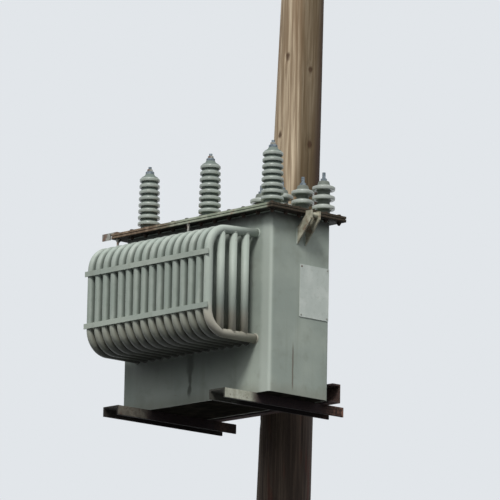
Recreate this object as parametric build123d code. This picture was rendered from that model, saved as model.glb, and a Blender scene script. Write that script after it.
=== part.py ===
# A three-phase oil-filled distribution transformer carried by one wooden pole.
# Millimetres, +Z up. The origin is the centre of the pole's foot, at ground level.
# X runs along the long side of the tank and -Y is its front, where the tube bank is.
import math
import os

from build123d import *

# Pole
POLE_HEIGHT = 7000.0
POLE_FOOT_D = 352.0
POLE_TOP_D = 198.0
POLE_LEAN = 0.03
POLE_TOP_CHAMFER = 12.0

# Height of the bearers' top, on which the tank stands
RIG_Z = 4000.0

# Tank of welded plate, with its rim, gasket and lid
TANK_W = 1040.0
TANK_D = 380.0
TANK_H = 872.0
TANK_WALL = 6.0
TANK_CORNER_R = 18.0
FLOOR_T = 8.0
RIM_OVERHANG = 54.0
RIM_T = 12.0
RIM_CORNER_R = 8.0
GASKET_T = 4.0
GASKET_INSET = 6.0
LID_T = 10.0

# Bearers under the tank: channels with their toes down, from front to back
BEARER_W = 108.0
BEARER_H = 46.0
BEARER_WEB = 7.0
BEARER_FLANGE = 9.0
BEARER_INSET = 144.0
BEARER_FRONT = 198.0
BEARER_BACK = 187.0

# Cross channels between the tank and the pole, web against the pole
CROSS_H = 90.0
CROSS_DEPTH = 50.0
CROSS_WEB = 6.0
CROSS_FLANGE = 8.0
CROSS_LOWER_INSET = 10.0
CROSS_UPPER_INSET = 140.0
CROSS_UPPER_DROP = 177.0
TANK_GAP = 38.0
SEAT = 0.3

# Hooks on the back of the tank, which hang on the upper cross channel
HOOK_INSET = 270.0
HOOK_T = 14.0
HOOK_DROP = 96.0
HOOK_ARM = 30.0
HOOK_REACH = 34.0

# Bolts through the pole
BOLT_D = 20.0
BOLT_HOLE_D = 21.0
BOLT_HEX = 30.0
BOLT_HEAD_H = 13.0
NUT_H = 16.0
THREAD_OUT = 34.0
WASHER = 64.0
WASHER_T = 6.0

# Tube bank on the front: bent outer tubes, with straight tubes between their runs
COLUMNS = 16
BANK_INSET = 106.0
BANK_DEPTH = 302.0
OUTER_TUBE_D = 42.0
INNER_TUBE_D = 38.0
INNER_TUBES = 3
INNER_PITCH = 77.0
BEND_R = 104.0
RUN_TOP_DROP = 110.0
RUN_BOTTOM_RISE = 257.0
RUN_FALL = 17.0
STRAP_W = 25.0
STRAP_T = 5.0
STRAP_OVER = 3.0
STRAP_UPPER_DROP = 134.0
STRAP_LOWER_RISE = 117.0

# High-voltage bushings: a row of three near the lid's front edge
HV_INSET = 81.0
HV_SETBACK = 72.0
HV_SHEDS = 8
HV_SHED_PITCH = 31.0
HV_FIRST_SHED = 52.0
HV_SHED_R_BOTTOM = 54.5
HV_SHED_R_TOP = 49.0
HV_SHED_T = 21.0
HV_SHED_DROOP = 4.0
HV_CORE_R = 39.0
HV_NECK_R = 22.0
HV_NECK_H = 18.0
HV_FLANGE_R = 62.0
HV_FLANGE_H = 18.0
HV_CAP_R = 21.0
HV_CAP_H = 14.0
HV_STUD_D = 16.0
HV_STUD_H = 22.0

# Low-voltage bushings: a row of four along the lid's back edge, from the right
LV_COUNT = 4
LV_PITCH = 145.0
LV_INSET = 30.0
LV_FROM_BACK = 22.0
LV_SHEDS = 3
LV_SHED_PITCH = 47.0
LV_FIRST_SHED = 46.0
LV_SHED_R = 55.0
LV_SHED_T = 26.0
LV_SHED_DROOP = 9.0
LV_CORE_R = 30.0
LV_FOOT_R = 40.0
LV_FOOT_H = 14.0
LV_HEIGHT = 172.0
LV_NUT = 27.0
LV_NUT_H = 13.0
LV_STUD_D = 16.0
LV_STUD_H = 30.0

# Lifting lugs on the short sides: two cheeks and a pin, standing out past the rim
LUG_CHEEK_T = 8.0
LUG_CHEEK_GAP = 44.0
LUG_FOOT_LOW = 152.0
LUG_FOOT_HIGH = 72.0
LUG_REACH = 40.0
LUG_TOP_DROP = 13.0
LUG_TIP_H = 39.0
LUG_PIN_D = 24.0
LUG_CLEAR = 4.0

# Bare rating plate on the right side, and the angle at the lid's front left corner
PLATE_W = 187.0
PLATE_H = 252.0
PLATE_T = 3.0
PLATE_BACK = 10.0
PLATE_DROP = 243.0
TAB_LEG = 34.0
TAB_T = 6.0
TAB_DEPTH = 40.0
TAB_OUT = 62.0
TAB_ON_LID = 46.0


def pole_radius(z):
    return (POLE_FOOT_D + (POLE_TOP_D - POLE_FOOT_D) * z / POLE_HEIGHT) / 2


def pole_x(z):
    return POLE_LEAN * z


# Places that follow from the sizes
RIG_X = pole_x(RIG_Z)
CROSS_LOWER_Y = -pole_radius(RIG_Z) - SEAT
CROSS_UPPER_Z = RIG_Z + TANK_H - CROSS_UPPER_DROP
CROSS_UPPER_Y = -pole_radius(CROSS_UPPER_Z) - SEAT
TANK_BACK_Y = CROSS_LOWER_Y - CROSS_DEPTH - TANK_GAP
TANK_MID_Y = TANK_BACK_Y - TANK_D / 2
TANK_FRONT_Y = TANK_BACK_Y - TANK_D
TANK_RIGHT_X = RIG_X + TANK_W / 2
RIM_TOP_Z = RIG_Z + TANK_H
LID_Z = RIM_TOP_Z + GASKET_T
LID_TOP_Z = LID_Z + LID_T
LID_W = TANK_W + 2 * RIM_OVERHANG
LID_D = TANK_D + 2 * RIM_OVERHANG
BANK_Y = TANK_FRONT_Y - BANK_DEPTH
COLUMN_PITCH = (TANK_W - 2 * BANK_INSET) / (COLUMNS - 1)
RUN_TOP_Z = RIM_TOP_Z - RUN_TOP_DROP
RUN_BOTTOM_Z = RIG_Z + RUN_BOTTOM_RISE


def plate(width, depth, thickness, radius, z):
    """A flat plate with rounded corners, centred on the tank."""
    outline = RectangleRounded(width, depth, radius)
    return Pos(RIG_X, TANK_MID_Y, z) * extrude(outline, thickness)


def channel(width, depth, web, flange, length):
    """A channel along Y from 0, its web up at z = 0 and its toes down."""
    outline = Pos(0, -depth / 2) * Rectangle(width, depth)
    hollow = Pos(0, -web - depth / 2) * Rectangle(width - 2 * flange, depth)
    section = outline - hollow
    root = section.vertices().filter_by(lambda v: abs(v.Y + web) < 0.01)
    section = fillet(root, flange * 0.6)
    return extrude(Plane.XZ * section, -length)


def pole():
    foot = Circle(pole_radius(0))
    top = Pos(pole_x(POLE_HEIGHT), 0, POLE_HEIGHT) * Circle(pole_radius(POLE_HEIGHT))
    body = loft([foot, top], ruled=True)
    body = chamfer(body.edges().sort_by(Axis.Z)[-1], POLE_TOP_CHAMFER)
    for z in cross_heights():
        body -= bolt_hole(z)
    return body


def cross_heights():
    """The heights of the bolts through the pole, one in each cross channel."""
    return [RIG_Z + CROSS_H / 2, CROSS_UPPER_Z + CROSS_H / 2]


def bolt_hole(z):
    reach = 2 * POLE_FOOT_D
    return Pos(pole_x(z), 0, z) * Rot(90, 0, 0) * Cylinder(BOLT_HOLE_D / 2, reach)


def bearer(side):
    shape = channel(BEARER_W, BEARER_H, BEARER_WEB, BEARER_FLANGE, BEARER_FRONT + TANK_D + BEARER_BACK)
    return Pos(RIG_X + side * (TANK_W / 2 - BEARER_INSET), TANK_FRONT_Y - BEARER_FRONT, RIG_Z) * shape


def cross_channel(inset, z, back_y):
    """A channel along X with its web against the pole and its toes towards the tank."""
    length = TANK_W - 2 * inset
    shape = channel(CROSS_H, CROSS_DEPTH, CROSS_WEB, CROSS_FLANGE, length)
    shape = Pos(RIG_X - length / 2, back_y, z + CROSS_H / 2) * Rot(0, 0, -90) * Rot(0, -90, 0) * shape
    return shape - bolt_hole(z + CROSS_H / 2)


def tank_hooks():
    """Two plates on the back wall, each hooked over the upper cross channel."""
    channel_top = CROSS_UPPER_Z + CROSS_H + SEAT
    channel_toes = CROSS_UPPER_Y - CROSS_DEPTH - SEAT
    arm_end = channel_toes + HOOK_REACH
    outline = [
        (TANK_BACK_Y, channel_top - HOOK_DROP),
        (channel_toes, channel_top - HOOK_DROP + (channel_toes - TANK_BACK_Y)),
        (channel_toes, channel_top),
        (arm_end, channel_top),
        (arm_end, channel_top + HOOK_ARM * 0.6),
        (arm_end - HOOK_ARM * 0.4, channel_top + HOOK_ARM),
        (TANK_BACK_Y, channel_top + HOOK_ARM),
    ]
    hook = extrude(Plane.YZ * Polygon(*outline, align=None), HOOK_T / 2, both=True)
    return [Pos(RIG_X + side * (TANK_W / 2 - HOOK_INSET), 0, 0) * hook for side in (-1, 1)]


def through_bolt(z, web_y):
    """A bolt with its head in the cross channel, a square washer and a nut behind the pole."""
    head_y = web_y - CROSS_WEB - SEAT
    washer_y = pole_radius(z - WASHER / 2) + SEAT
    nut_y = washer_y + WASHER_T
    end_y = nut_y + NUT_H + THREAD_OUT
    hexagon = RegularPolygon(BOLT_HEX / 2, 6, major_radius=False)
    along = Rot(-90, 0, 0)
    shank = along * extrude(Circle(BOLT_D / 2), end_y - head_y)
    head = along * extrude(hexagon, -BOLT_HEAD_H)
    washer = along * extrude(Rectangle(WASHER, WASHER), WASHER_T)
    nut = along * extrude(hexagon, NUT_H)
    bolt = Pos(0, head_y, 0) * shank + Pos(0, head_y, 0) * head
    bolt += Pos(0, washer_y, 0) * washer + Pos(0, nut_y, 0) * nut
    return Pos(pole_x(z), 0, z) * bolt


def tank_walls():
    outside = RectangleRounded(TANK_W, TANK_D, TANK_CORNER_R)
    inside = RectangleRounded(TANK_W - 2 * TANK_WALL, TANK_D - 2 * TANK_WALL, TANK_CORNER_R - TANK_WALL)
    return Pos(RIG_X, TANK_MID_Y, RIG_Z) * extrude(outside - inside, TANK_H)


def tank_floor():
    radius = TANK_CORNER_R - TANK_WALL
    return plate(TANK_W - 2 * TANK_WALL, TANK_D - 2 * TANK_WALL, FLOOR_T, radius, RIG_Z)


def tank_rim():
    outer = plate(LID_W, LID_D, RIM_T, RIM_CORNER_R, RIM_TOP_Z - RIM_T)
    return outer - plate(TANK_W, TANK_D, RIM_T, TANK_CORNER_R, RIM_TOP_Z - RIM_T)


def gasket():
    outer = plate(LID_W - 2 * GASKET_INSET, LID_D - 2 * GASKET_INSET, GASKET_T, RIM_CORNER_R, RIM_TOP_Z)
    inner_w = TANK_W - 2 * TANK_WALL
    inner_d = TANK_D - 2 * TANK_WALL
    return outer - plate(inner_w, inner_d, GASKET_T, TANK_CORNER_R - TANK_WALL, RIM_TOP_Z)


def lid():
    return plate(LID_W, LID_D, LID_T, RIM_CORNER_R, LID_Z)


def run_top_z(y):
    """The height of a column's top run, which falls away from the tank."""
    return RUN_TOP_Z - RUN_FALL * (TANK_FRONT_Y - y) / BANK_DEPTH


def tube_column():
    """One harp of the tube bank: a bent outer tube and three straight tubes, at x = 0."""
    into_wall = OUTER_TUBE_D
    bottom_z = RUN_BOTTOM_Z
    inside_y = TANK_FRONT_Y + into_wall
    route = [
        (0, inside_y, run_top_z(inside_y)),
        (0, BANK_Y, run_top_z(BANK_Y)),
        (0, BANK_Y, bottom_z),
        (0, inside_y, bottom_z),
    ]
    path = FilletPolyline(*route, radius=BEND_R)
    profile = Plane(path @ 0, z_dir=path % 0) * Circle(OUTER_TUBE_D / 2)
    column = sweep(profile, path=path)
    for k in range(1, INNER_TUBES + 1):
        y = BANK_Y + k * INNER_PITCH
        length = run_top_z(y) - bottom_z
        column += Pos(0, y, bottom_z) * extrude(Circle(INNER_TUBE_D / 2), length)
    behind = Pos(0, TANK_FRONT_Y + into_wall, RIG_Z + TANK_H / 2) * Box(2 * into_wall, 2 * into_wall, TANK_H)
    return column - behind


def strap(z):
    """A flat bar across the front of all the outer tubes."""
    length = (COLUMNS - 1) * COLUMN_PITCH + OUTER_TUBE_D + 2 * STRAP_OVER
    y = BANK_Y - OUTER_TUBE_D / 2 - SEAT - STRAP_T / 2
    return Pos(RIG_X, y, z) * Box(length, STRAP_T, STRAP_W)


def shed_outline(radius, core, thickness, droop, z):
    """The outline of one shed: it droops towards its rounded edge."""
    return [
        (core, z - thickness / 2),
        (radius - thickness * 0.15, z - thickness / 2 - droop * 0.2),
        (radius, z - thickness * 0.15),
        (radius - thickness * 0.3, z + thickness / 2 - droop),
        (core, z + thickness / 2),
    ]


def hv_bushing():
    """Porcelain with a stack of sheds, narrower at the top, at x = y = 0 on the lid."""
    outline = [(0, HV_FLANGE_H), (HV_CORE_R, HV_FLANGE_H)]
    for k in range(HV_SHEDS):
        share = k / (HV_SHEDS - 1)
        radius = HV_SHED_R_BOTTOM + (HV_SHED_R_TOP - HV_SHED_R_BOTTOM) * share
        z = HV_FIRST_SHED + k * HV_SHED_PITCH
        outline += shed_outline(radius, HV_CORE_R, HV_SHED_T, HV_SHED_DROOP, z)
    top = outline[-1][1]
    outline += [(HV_NECK_R, top + HV_NECK_H), (0, top + HV_NECK_H)]
    return revolve(Plane.XZ * Polygon(*outline, align=None), Axis.Z)


def hv_top():
    """The height of the porcelain's top above the lid."""
    last_shed = HV_FIRST_SHED + (HV_SHEDS - 1) * HV_SHED_PITCH
    return last_shed + HV_SHED_T / 2 + HV_NECK_H


def hv_flange():
    """The clamping ring at the foot of a high-voltage bushing."""
    ring = Circle(HV_FLANGE_R)
    flange = extrude(ring, HV_FLANGE_H)
    return chamfer(flange.edges().sort_by(Axis.Z)[-1], HV_FLANGE_H * 0.4)


def hv_terminal():
    cap = Pos(0, 0, hv_top()) * extrude(Circle(HV_CAP_R), HV_CAP_H)
    cap = chamfer(cap.edges().sort_by(Axis.Z)[-1], HV_CAP_H * 0.3)
    stud = Pos(0, 0, hv_top() + HV_CAP_H) * extrude(Circle(HV_STUD_D / 2), HV_STUD_H)
    return cap + stud


def lv_bushing():
    """Porcelain with broad sheds, at x = y = 0 on the lid."""
    outline = [(0, 0), (LV_FOOT_R, 0), (LV_FOOT_R, LV_FOOT_H), (LV_CORE_R, LV_FOOT_H)]
    for k in range(LV_SHEDS):
        z = LV_FIRST_SHED + k * LV_SHED_PITCH
        outline += shed_outline(LV_SHED_R, LV_CORE_R, LV_SHED_T, LV_SHED_DROOP, z)
    outline += [(LV_CORE_R * 0.8, LV_HEIGHT), (0, LV_HEIGHT)]
    return revolve(Plane.XZ * Polygon(*outline, align=None), Axis.Z)


def lv_terminal():
    """A clamping nut with its stud standing out above it."""
    nut = Pos(0, 0, LV_HEIGHT) * extrude(RegularPolygon(LV_NUT / 2, 6, major_radius=False), LV_NUT_H)
    stud = Pos(0, 0, LV_HEIGHT + LV_NUT_H) * extrude(Circle(LV_STUD_D / 2), LV_STUD_H)
    return nut + stud


def hv_places():
    y = TANK_FRONT_Y + HV_SETBACK
    reach = TANK_W / 2 - HV_INSET
    return [Pos(RIG_X + k * reach, y, LID_TOP_Z) for k in (-1, 0, 1)]


def lv_places():
    y = TANK_BACK_Y - LV_FROM_BACK
    first_x = TANK_RIGHT_X - LV_INSET
    return [Pos(first_x - k * LV_PITCH, y, LID_TOP_Z) for k in range(LV_COUNT)]


def lifting_lug(side):
    """Two cheeks that slope out and up past the rim's edge, with a pin across their ends."""
    wall_x = TANK_W / 2
    low = RIM_TOP_Z - LUG_FOOT_LOW
    high = RIM_TOP_Z - LUG_FOOT_HIGH
    clear_x = wall_x + RIM_OVERHANG + LUG_CLEAR
    end_x = clear_x + LUG_REACH
    top = LID_TOP_Z - LUG_TOP_DROP
    outline = [
        (wall_x, low),
        (end_x, top - LUG_TIP_H),
        (end_x, top),
        (clear_x, top),
        (clear_x, RIM_TOP_Z - RIM_T - LUG_CLEAR),
        (wall_x, high),
    ]
    cheek = extrude(Plane.XZ * Polygon(*outline, align=None), LUG_CHEEK_T / 2, both=True)
    pin_z = top - LUG_TIP_H / 2
    pin = Pos((clear_x + end_x) / 2, 0, pin_z) * Rot(90, 0, 0) * Cylinder(LUG_PIN_D / 2, LUG_CHEEK_GAP)
    half_gap = (LUG_CHEEK_GAP + LUG_CHEEK_T) / 2
    lug = pin + Pos(0, -half_gap, 0) * cheek + Pos(0, half_gap, 0) * cheek
    if side < 0:
        lug = mirror(lug, Plane.YZ)
    return Pos(RIG_X, TANK_MID_Y, 0) * lug


def rating_plate():
    y = TANK_BACK_Y - PLATE_BACK - PLATE_W / 2
    blank = extrude(Plane.YZ * RectangleRounded(PLATE_W, PLATE_H, PLATE_T), PLATE_T)
    return Pos(TANK_RIGHT_X, y, RIM_TOP_Z - PLATE_DROP - PLATE_H / 2) * blank


def lid_angle():
    """A short angle on the lid's front left corner, with one leg hanging past the lid's end."""
    lid_left = RIG_X - LID_W / 2
    front_y = TANK_MID_Y - LID_D / 2
    flat_l = TAB_ON_LID + TAB_OUT
    flat = Pos(lid_left - TAB_OUT + flat_l / 2, front_y + TAB_DEPTH / 2, LID_TOP_Z + TAB_T / 2)
    leg_l = TAB_OUT - LUG_CLEAR
    leg = Pos(lid_left - TAB_OUT + leg_l / 2, front_y + TAB_T / 2, LID_TOP_Z + TAB_T - TAB_LEG / 2)
    return flat * Box(flat_l, TAB_DEPTH, TAB_T) + leg * Box(leg_l, TAB_T, TAB_LEG)


def pieces():
    """Every node by name, each with its solid or solids."""
    parts = {
        "pole": pole(),
        "bearer_left": bearer(-1),
        "bearer_right": bearer(1),
        "cross_channel_lower": cross_channel(CROSS_LOWER_INSET, RIG_Z, CROSS_LOWER_Y),
        "cross_channel_upper": cross_channel(CROSS_UPPER_INSET, CROSS_UPPER_Z, CROSS_UPPER_Y),
        "tank_hooks": tank_hooks(),
        "tank_walls": tank_walls(),
        "tank_floor": tank_floor(),
        "tank_rim": tank_rim(),
        "gasket": gasket(),
        "lid": lid(),
        "strap_upper": strap(RUN_TOP_Z - STRAP_UPPER_DROP),
        "strap_lower": strap(RUN_BOTTOM_Z + STRAP_LOWER_RISE),
        "hv_flanges": [place * hv_flange() for place in hv_places()],
        "lv_terminals": [place * lv_terminal() for place in lv_places()],
        "lifting_lug_left": lifting_lug(-1),
        "lifting_lug_right": lifting_lug(1),
        "rating_plate": rating_plate(),
        "lid_angle": lid_angle(),
    }
    lower_z, upper_z = cross_heights()
    parts["through_bolt_lower"] = through_bolt(lower_z, CROSS_LOWER_Y)
    parts["through_bolt_upper"] = through_bolt(upper_z, CROSS_UPPER_Y)
    column = tube_column()
    first_x = RIG_X - (COLUMNS - 1) * COLUMN_PITCH / 2
    for k in range(COLUMNS):
        parts[f"tube_column_{k + 1:02d}"] = Pos(first_x + k * COLUMN_PITCH, 0, 0) * column
    for name, place in zip(("left", "centre", "right"), hv_places()):
        parts["hv_bushing_" + name] = place * hv_bushing()
        parts["hv_terminal_" + name] = place * hv_terminal()
    for k, place in enumerate(lv_places()):
        parts[f"lv_bushing_{k + 1}"] = place * lv_bushing()
    return parts


def main():
    os.makedirs("parts", exist_ok=True)
    for name, shape in pieces().items():
        if isinstance(shape, list):
            shape = Compound(children=shape)
        export_step(shape, f"parts/{name}.step")
    print(f"tank centre at x = {RIG_X:.1f}, y = {TANK_MID_Y:.1f}; lid top at z = {LID_TOP_Z:.1f}")
    print(f"top run falls {math.degrees(math.atan(RUN_FALL / BANK_DEPTH)):.1f} degrees")


main()
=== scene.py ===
import math
import random

import bmesh
import bpy
import numpy as np
from mathutils import Matrix, Vector


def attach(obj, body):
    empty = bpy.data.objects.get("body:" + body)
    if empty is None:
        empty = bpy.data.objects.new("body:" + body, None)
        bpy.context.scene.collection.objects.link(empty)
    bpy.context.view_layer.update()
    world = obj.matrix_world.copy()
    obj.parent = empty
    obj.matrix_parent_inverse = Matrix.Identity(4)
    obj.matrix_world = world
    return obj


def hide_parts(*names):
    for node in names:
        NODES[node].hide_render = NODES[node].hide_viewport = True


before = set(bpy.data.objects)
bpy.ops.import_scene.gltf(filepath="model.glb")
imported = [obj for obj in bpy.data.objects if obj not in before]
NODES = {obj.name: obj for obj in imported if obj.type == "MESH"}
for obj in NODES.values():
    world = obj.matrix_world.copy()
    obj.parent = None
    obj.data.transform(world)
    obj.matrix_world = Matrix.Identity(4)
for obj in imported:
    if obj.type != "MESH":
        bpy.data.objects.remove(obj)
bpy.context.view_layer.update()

# Places of the tank
RIG_X = 0.120
BASE_Z = 4.000
FRONT_Y = -0.6003
MID_Y = -0.4103
BACK_Y = -0.2203
LEFT_X = RIG_X - 0.520
RIGHT_X = RIG_X + 0.520
RIM_LOW_Z = 4.860
LID_TOP_Z = 4.886
RIM_OVERHANG = 0.054
TANK_CORNER_R = 0.018

# The tube bank
COLUMNS = 16
COLUMN_PITCH = 0.0552
BANK_Y = FRONT_Y - 0.302
OUTER_TUBE_R = 0.021
INNER_TUBE_R = 0.019
INNER_TUBES = 3
INNER_PITCH = 0.077
BEND_R = 0.104
RUN_TOP_Z = 4.762
RUN_BOTTOM_Z = 4.257
RUN_FALL = 0.017 / 0.302

# The pole
POLE_H = 7.0
POLE_FOOT_R = 0.176
POLE_TOP_R = 0.099
POLE_LEAN = 0.03

# High-voltage bushings. Heights are above the lid's top.
HV_PITCH = 0.439
HV_X = [RIG_X + HV_PITCH * k for k in (-1, 0, 1)]
HV_Y = -0.5283
HV_SHEDS = 8
HV_SHED_PITCH = 0.031
HV_FIRST_SHED = 0.052
HV_SHED_R_LOW = 0.0545
HV_SHED_R_HIGH = 0.049
HV_SHED_T = 0.021
HV_DROOP = 0.004
HV_CORE_R = 0.039
HV_CLEAN_R = 0.0515
HV_RING_BOLT_R = 0.051
HV_RING_TOP = 0.0150
HV_CAP_TOP = 0.3115

# Low-voltage bushings, from the right
LV_PITCH = 0.145
LV_X = [RIG_X + 0.490 - LV_PITCH * k for k in range(4)]
LV_Y = -0.2423
LV_SHEDS = 3
LV_SHED_PITCH = 0.047
LV_FIRST_SHED = 0.046
LV_SHED_R = 0.055
LV_SHED_T = 0.026
LV_DROOP = 0.009
LV_CORE_R = 0.030
LV_CLEAN_R = 0.054

# Bearers and the bolts in them
BEARER_OUT = 0.376
BEARER_X = [RIG_X - BEARER_OUT, RIG_X + BEARER_OUT]
BEARER_INNER = 0.045
BEARER_H = 0.046
BEARER_TIP_Y = FRONT_Y - 0.198
REAR_BOLT_Y = -0.157

# The rating plate's rivets, and the welds of the lifting lugs
RIVET_Y = (-0.4073, -0.2403)
RIVET_Z = (4.387, 4.619)
LUG_CHEEK_OUT = 0.026
LUG_WELD_Z = (4.722, 4.798)


def shade(red, green, blue):
    """A colour as the eye reads it, 0 to 255, in the renderer's own scale."""

    def linear(level):
        level = level / 255
        if level <= 0.04045:
            return level / 12.92
        return ((level + 0.055) / 1.055) ** 2.4

    return (linear(red), linear(green), linear(blue), 1.0)


# Finishes


class Value:
    """A number or colour that varies over a surface: one socket of a finish."""

    def __init__(self, finish, socket):
        self.finish = finish
        self.socket = socket

    def __add__(self, other):
        return self.finish.maths("ADD", self, other)

    def __radd__(self, other):
        return self.finish.maths("ADD", other, self)

    def __sub__(self, other):
        return self.finish.maths("SUBTRACT", self, other)

    def __rsub__(self, other):
        return self.finish.maths("SUBTRACT", other, self)

    def __mul__(self, other):
        return self.finish.maths("MULTIPLY", self, other)

    def __rmul__(self, other):
        return self.finish.maths("MULTIPLY", other, self)

    def __abs__(self):
        return self.finish.maths("ABSOLUTE", self)


class Finish:
    """A material of the object, built from nodes on Object coordinates."""

    def __init__(self, name):
        self.material = bpy.data.materials.new(name)
        self.material.use_nodes = True
        self.tree = self.material.node_tree
        self.tree.nodes.clear()
        self.place = self.out(self.node("ShaderNodeTexCoord"), "Object")

    def node(self, kind, settings=None, inputs=None):
        """A node with its settings, and the values or links of its sockets."""
        made = self.tree.nodes.new(kind)
        for name, setting in (settings or {}).items():
            setattr(made, name, setting)
        for key, given in (inputs or {}).items():
            if isinstance(given, Value):
                self.tree.links.new(given.socket, made.inputs[key])
            else:
                made.inputs[key].default_value = given
        return made

    def out(self, node, key=0):
        return Value(self, node.outputs[key])

    def maths(self, operation, *values):
        inputs = dict(enumerate(values))
        return self.out(self.node("ShaderNodeMath", {"operation": operation}, inputs))

    def axes(self):
        split = self.node("ShaderNodeSeparateXYZ", None, {0: self.place})
        return [self.out(split, k) for k in range(3)]

    def attribute(self, name):
        return self.out(self.node("ShaderNodeAttribute", {"attribute_name": name}), "Fac")

    def cloud(self, size, detail=3.0, stretch=(1, 1, 1), shift=0.0, warp=0.0):
        """Noise from 0 to 1 in patches of about that size in metres."""
        moved_by = {"Vector": self.place, "Scale": stretch, "Location": (shift, shift, shift)}
        moved = self.node("ShaderNodeMapping", None, moved_by)
        inputs = {"Vector": self.out(moved), "Scale": 1 / size, "Detail": detail, "Distortion": warp}
        return self.out(self.node("ShaderNodeTexNoise", None, inputs))

    def ramp(self, value, low, high):
        """0 at low and 1 at high, smooth between, whichever is larger."""
        inputs = {0: value, 1: low, 2: high}
        return self.out(self.node("ShaderNodeMapRange", {"interpolation_type": "SMOOTHSTEP"}, inputs))

    def blend(self, share, low, high):
        """The colour low where share is 0, and high where it is 1."""
        inputs = {0: share, 6: low, 7: high}
        return self.out(self.node("ShaderNodeMix", {"data_type": "RGBA"}, inputs), 2)

    def bump(self, height, depth):
        inputs = {"Strength": 1.0, "Distance": depth, "Height": height}
        return self.out(self.node("ShaderNodeBump", None, inputs))

    def close(self, **sockets):
        """Joins the last values to the shader. Underscores in the names stand for spaces."""
        inputs = {name.replace("_", " "): given for name, given in sockets.items()}
        shader = self.node("ShaderNodeBsdfPrincipled", None, inputs)
        self.node("ShaderNodeOutputMaterial", None, {"Surface": self.out(shader)})
        return self.material


def tank_paint():
    """Grey-green enamel on the tank, mottled by weather, with a stain and rust below the bank, painted
    shadow under the lid and the bank, and a painted highlight beside the bank.
    """
    paint = Finish("tank_enamel")
    x, y, z = paint.axes()
    broad = paint.cloud(0.26, 3.0, shift=2.0)
    patchy = paint.cloud(0.07, 5.0, shift=5.0)
    fine = paint.cloud(0.012, 4.0)
    runs = paint.cloud(0.035, 3.0, stretch=(1, 1, 0.05), shift=1.0)
    wander = paint.cloud(0.05, 3.0, shift=7.0)
    colour = paint.blend(paint.ramp(broad, 0.36, 0.66), shade(134, 143, 135), shade(147, 155, 146))
    colour = paint.blend(paint.ramp(patchy, 0.50, 0.74) * 0.45, colour, shade(122, 128, 118))
    colour = paint.blend(paint.ramp(runs, 0.56, 0.76) * 0.30, colour, shade(112, 116, 102))
    # Painted shadow: a dark band on the walls under the lid's rim.
    painted_lid_shadow = paint.ramp(z + (wander - 0.5) * 0.03, RIM_LOW_Z - 0.075, RIM_LOW_Z - 0.005)
    colour = paint.blend(painted_lid_shadow * 0.92, colour, shade(34, 33, 26))
    near_base = paint.ramp(z + wander * 0.04, BASE_Z + 0.09, BASE_Z + 0.02)
    colour = paint.blend(near_base * 0.35, colour, shade(104, 100, 84))
    front = paint.ramp(y, FRONT_Y + 0.012, FRONT_Y + 0.004)
    # Painted highlight: the strip of the front beside the bank, made paler
    painted_light_strip = front * paint.ramp(x + (wander - 0.5) * 0.02, RIG_X + 0.440, RIG_X + 0.470)
    colour = paint.blend(painted_light_strip * (1 - painted_lid_shadow) * 0.70, colour, shade(164, 172, 164))
    # The dark run on the front, wide below the bank and thin at its foot
    reach = 0.014 + paint.ramp(z, BASE_Z + 0.06, BASE_Z + 0.24) * 0.026
    across = abs(x - (RIG_X - 0.036) + (wander - 0.5) * 0.035)
    stain = paint.ramp(across + (patchy - 0.5) * 0.02, reach * 1.1, reach * 0.2) * front
    stain = stain * paint.ramp(z, BASE_Z + 0.015, BASE_Z + 0.06)
    stain = stain * paint.ramp(z, BASE_Z + 0.33, BASE_Z + 0.25)
    colour = paint.blend(stain * 0.80, colour, shade(36, 36, 28))
    # Painted shade under the bank on the front, darker to the left and higher up
    painted_bank_shade = front * paint.ramp(z + (wander - 0.5) * 0.05, BASE_Z + 0.28, BASE_Z + 0.22)
    painted_bank_shade = painted_bank_shade * paint.ramp(x, RIG_X + 0.44, RIG_X + 0.24)
    higher = paint.ramp(z, BASE_Z + 0.05, BASE_Z + 0.23)
    colour = paint.blend(painted_bank_shade * (0.22 + higher * 0.58), colour, shade(58, 63, 57))
    # The thin rusty streak on the right side
    side = paint.ramp(x, RIGHT_X - 0.004, RIGHT_X - 0.001)
    thin = paint.ramp(abs(y + 0.453 + (wander - 0.5) * 0.006), 0.0060, 0.0025) * side
    thin = thin * paint.ramp(z, BASE_Z + 0.010, BASE_Z + 0.05) * paint.ramp(z, BASE_Z + 0.26, BASE_Z + 0.20)
    colour = paint.blend(thin * 0.7, colour, shade(80, 66, 52))
    rust = paint.ramp(paint.cloud(0.030, 6.0, shift=11.0), 0.70, 0.76)
    rust = rust * paint.ramp(z + wander * 0.1, BASE_Z + 0.16, BASE_Z + 0.04)
    colour = paint.blend(rust * 0.7, colour, shade(104, 68, 46))
    relief = patchy * 0.6 + fine * 0.4
    return paint.close(
        Base_Color=colour,
        Roughness=0.52 + patchy * 0.16 + stain * 0.2,
        Specular_IOR_Level=0.35,
        Normal=paint.bump(relief, 0.0012),
    )


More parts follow.
